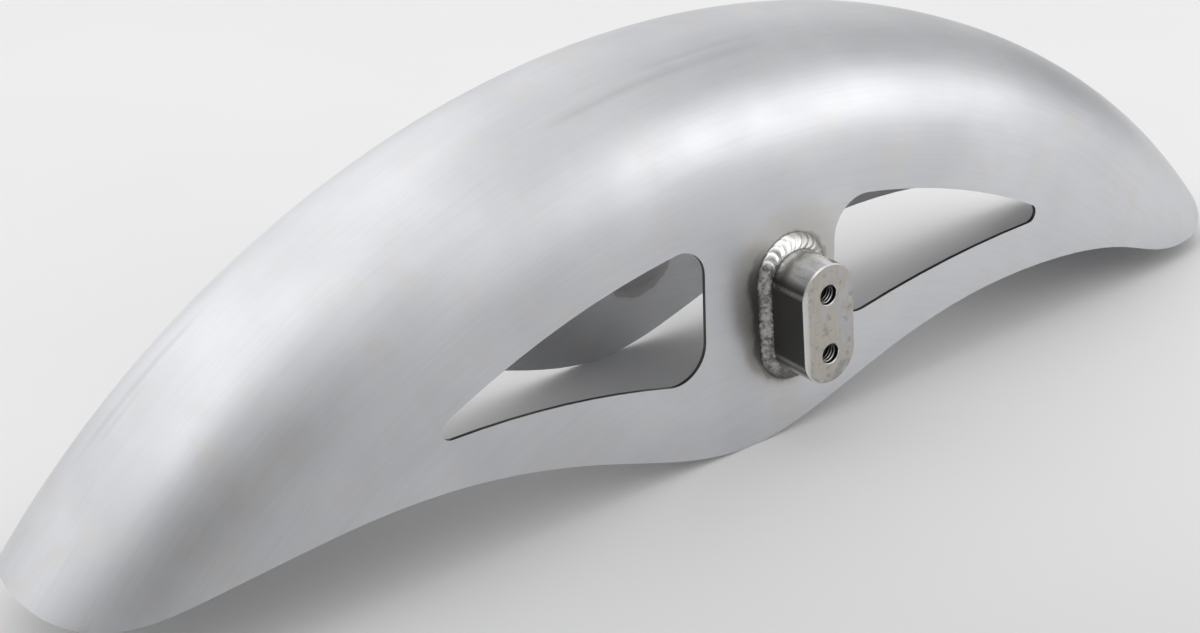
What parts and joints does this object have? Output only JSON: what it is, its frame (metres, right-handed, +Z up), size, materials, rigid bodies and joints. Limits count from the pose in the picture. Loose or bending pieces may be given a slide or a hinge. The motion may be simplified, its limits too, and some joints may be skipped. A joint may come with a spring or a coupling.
{
  "type": "motorcycle front fender",
  "caption": "Bare steel motorcycle front fender with a rounded crown, windowed side straps and welded, tapped mounting blocks on both sides.",
  "frame": {"origin": "under the axle of the crown's arc, at the middle of the width, level with the lowest point of the sides; about 2 mm in front of the middle of the length", "axes": "+X along the fender towards the rear of the bike, +Z up, the left side of the bike at -Y"},
  "size_m": [0.5811, 0.1448, 0.1592],
  "materials": {
    "shell_steel": "bare sheet steel, sanded to a soft satin with cloudy patches and faint lengthwise streaks",
    "block_steel": "bare machined bar, brighter on the turned round ends, tan-grey and smudged on the face",
    "weld_metal": "rippled weld metal, bright on top and sooty at its toes"
  },
  "bodies": {
    "root": {"fender_shell": "shell_steel", "mount_block_left": "block_steel", "mount_block_right": "block_steel", "weld_bead_left": "weld_metal", "weld_bead_right": "weld_metal"}
  },
  "joints": []
}
